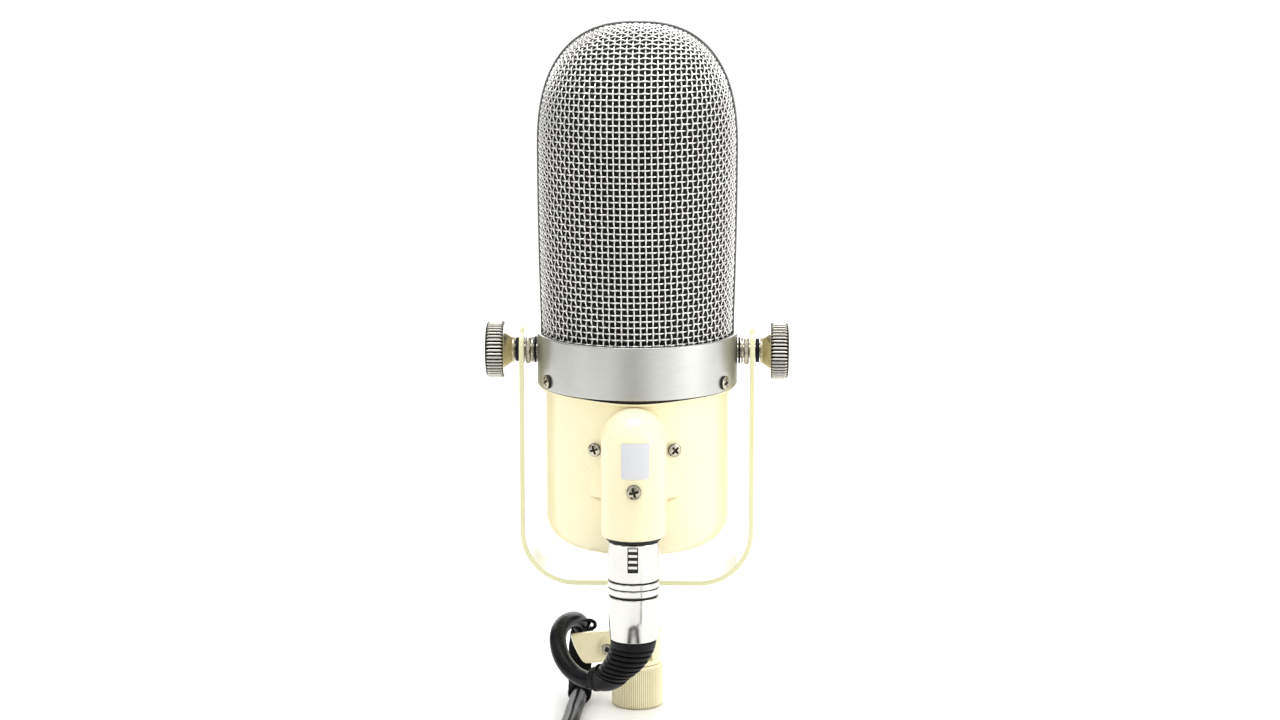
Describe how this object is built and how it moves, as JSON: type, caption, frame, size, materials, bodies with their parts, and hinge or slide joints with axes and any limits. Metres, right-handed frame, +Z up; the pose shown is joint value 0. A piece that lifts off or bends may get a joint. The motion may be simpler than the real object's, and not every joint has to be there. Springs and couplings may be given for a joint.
{
  "type": "ribbon microphone",
  "caption": "Side-address ribbon microphone with woven grille and steel band, hung in a cream yoke on a clamped swivel, with its cable plugged in.",
  "frame": {"origin": "centre of the stand ring's mouth, on the ring's axis, at the lowest plane of the microphone", "axes": "+Z up the stand ring's axis through the head; +Y out of the grille's front, with the cable socket on the back at -Y; +X along the yoke's pivots"},
  "size_m": [0.1696, 0.2335, 0.2655],
  "materials": {
    "enamel": "semi-gloss cream enamel over metal",
    "brushed": "fine satin brushed steel",
    "wire": "bright woven steel wire",
    "screen": "fine blackened mesh",
    "nickel": "polished nickel plate",
    "rubber": "smooth black rubber",
    "plastic": "black moulded plastic",
    "paper": "white adhesive label",
    "magnet": "ground magnet alloy",
    "foil": "corrugated bright foil",
    "can": "plain shielding can"
  },
  "bodies": {
    "root": {"swivel_fork": "enamel", "clamp_washer": "nickel", "clamp_nut": "nickel", "spigot_cap": "nickel", "cord_tie": "rubber", "cord_lower": "rubber", "cord_coil": "rubber", "far_plug_boot": "rubber", "far_plug_shell": "nickel", "far_plug_insert": "plastic"},
    "ring": {"stand_ring": "enamel"},
    "clamp": {"clamp_screw": "nickel", "clamp_lever": "enamel"},
    "yoke": {"yoke": "enamel", "yoke_knuckle": "enamel", "yoke_bolt": "nickel", "yoke_lock_washer": "nickel", "yoke_washer_left": "rubber", "yoke_washer_right": "rubber"},
    "knob_left": {"knob_left": "nickel"},
    "knob_right": {"knob_right": "nickel"},
    "head": {"band_ring": "brushed", "band_screw_front_left": "nickel", "band_screw_front_right": "nickel", "band_screw_rear_left": "nickel", "band_screw_rear_right": "nickel", "lower_body": "enamel", "xlr_housing": "enamel", "housing_screw_left": "nickel", "housing_screw_right": "nickel", "housing_screw_lower": "nickel", "rear_label": "paper", "socket_gasket": "rubber", "socket_insert": "plastic", "grille_front": "wire", "grille_rear": "wire", "grille_hoop": "wire", "inner_screen": "screen", "chassis_plate": "brushed", "motor_frame": "magnet", "magnet_left": "magnet", "magnet_right": "magnet", "ribbon": "foil", "ribbon_clamp_lower": "nickel", "ribbon_clamp_upper": "nickel", "transformer": "can", "pivot_stud_left": "nickel", "pivot_stud_right": "nickel", "hex_nut_left": "nickel", "hex_nut_right": "nickel", "steel_washer_left": "nickel", "steel_washer_right": "nickel", "rubber_washer_left": "rubber", "rubber_washer_right": "rubber", "plug_shell": "nickel", "plug_insert": "plastic", "plug_housing": "nickel", "plug_boot": "rubber", "cord_upper": "rubber"},
    "latch": {"latch_button": "plastic"}
  },
  "joints": [
    {"name": "yoke_tilt", "type": "hinge", "parent": "root", "child": "yoke", "pos_m": [0, 0, 0.0244], "axis": [0.9397, 0.342, 0], "range_deg": [-45, 15], "deforming": ["cord_upper"]},
    {"name": "head_tilt", "type": "hinge", "parent": "yoke", "child": "head", "pos_m": [0, 0, 0.1406], "axis": [1, 0, 0], "range_deg": [-30, 10], "deforming": ["cord_upper"]},
    {"name": "knob_left_turn", "type": "hinge", "parent": "yoke", "child": "knob_left", "pos_m": [-0.05, 0, 0.1406], "axis": [-1, 0, 0], "continuous": true},
    {"name": "knob_right_turn", "type": "hinge", "parent": "yoke", "child": "knob_right", "pos_m": [0.05, 0, 0.1406], "axis": [1, 0, 0], "continuous": true},
    {"name": "clamp_turn", "type": "hinge", "parent": "root", "child": "clamp", "pos_m": [0, 0, 0.0244], "axis": [-0.9397, -0.342, 0], "continuous": true},
    {"name": "ring_turn", "type": "hinge", "parent": "root", "child": "ring", "pos_m": [0, 0, 0], "axis": [0, 0, 1], "continuous": true},
    {"name": "latch_press", "type": "slide", "parent": "head", "child": "latch", "axis": [0, 1, 0], "range_m": [0, 0.0009], "stiffness_N_per_m": 400}
  ]
}
